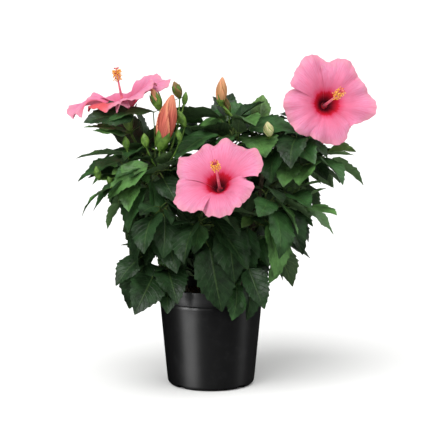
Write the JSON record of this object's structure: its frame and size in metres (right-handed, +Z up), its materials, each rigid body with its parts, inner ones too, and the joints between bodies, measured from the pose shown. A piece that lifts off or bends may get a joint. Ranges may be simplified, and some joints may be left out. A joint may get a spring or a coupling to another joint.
{
  "type": "potted hibiscus shrub",
  "caption": "Compact hibiscus shrub in a black nursery pot, with glossy toothed leaves, large open pink blooms with a dark red eye, and furled buds.",
  "frame": {"origin": "centre of the pot's flat underside", "axes": "+Z up the plant, +X to the right of the front view, -Y towards its viewer"},
  "size_m": [0.369, 0.3003, 0.404],
  "materials": {
    "pot_plastic": "satin black moulded plastic",
    "potting_soil": "matt brown crumbs",
    "stem_bark": "thin grey-brown bark",
    "green_wood": "smooth green young wood",
    "foliage": "glossy deep green leaf",
    "leaf_back": "matt paler leaf underside",
    "petals": "soft satin pink petal",
    "bloom_eye": "velvety dark red",
    "anthers": "dusty yellow-orange",
    "bud_skin": "satin coral bud"
  },
  "bodies": {
    "root": {"pot": "pot_plastic", "soil": "potting_soil", "stem_left": "stem_bark", "stem_middle": "stem_bark", "stem_right": "stem_bark", "bough_left_crest": "green_wood", "bough_left_buds": "green_wood", "bough_left_reach": "green_wood", "bough_left_inner": "green_wood", "bough_left_low": "green_wood", "bough_left_rim": "green_wood", "bough_front_low": "green_wood", "bough_front_bloom": "green_wood", "bough_right_front": "green_wood", "bough_right_mid": "green_wood", "bough_right_reach": "green_wood", "bough_right_crest": "green_wood", "bough_right_low": "green_wood", "bough_right_rim": "green_wood", "bough_top_middle": "green_wood", "bough_top_right": "green_wood", "bough_back_left": "green_wood", "bough_back_middle": "green_wood", "bough_back_right": "green_wood", "bough_back_low_left": "green_wood", "bough_back_low": "green_wood", "bough_back_low_right": "green_wood", "mass_left_crest": "foliage", "mass_left_buds": "foliage", "mass_left_reach": "foliage", "mass_left_inner": "foliage", "mass_left_low": "foliage", "mass_left_rim": "foliage", "mass_front_low": "foliage", "mass_front_bloom": "foliage", "mass_right_front": "foliage", "mass_right_mid": "foliage", "mass_right_reach": "foliage", "mass_right_crest": "foliage", "mass_right_low": "foliage", "mass_right_rim": "foliage", "mass_top_middle": "foliage", "mass_top_right": "foliage", "mass_back_left": "foliage", "mass_back_middle": "foliage", "mass_back_right": "foliage", "mass_back_low_left": "foliage", "mass_back_low": "foliage", "mass_back_low_right": "foliage", "bloom_left": "petals", "bloom_front": "petals", "bloom_right": "petals"}
  },
  "joints": []
}
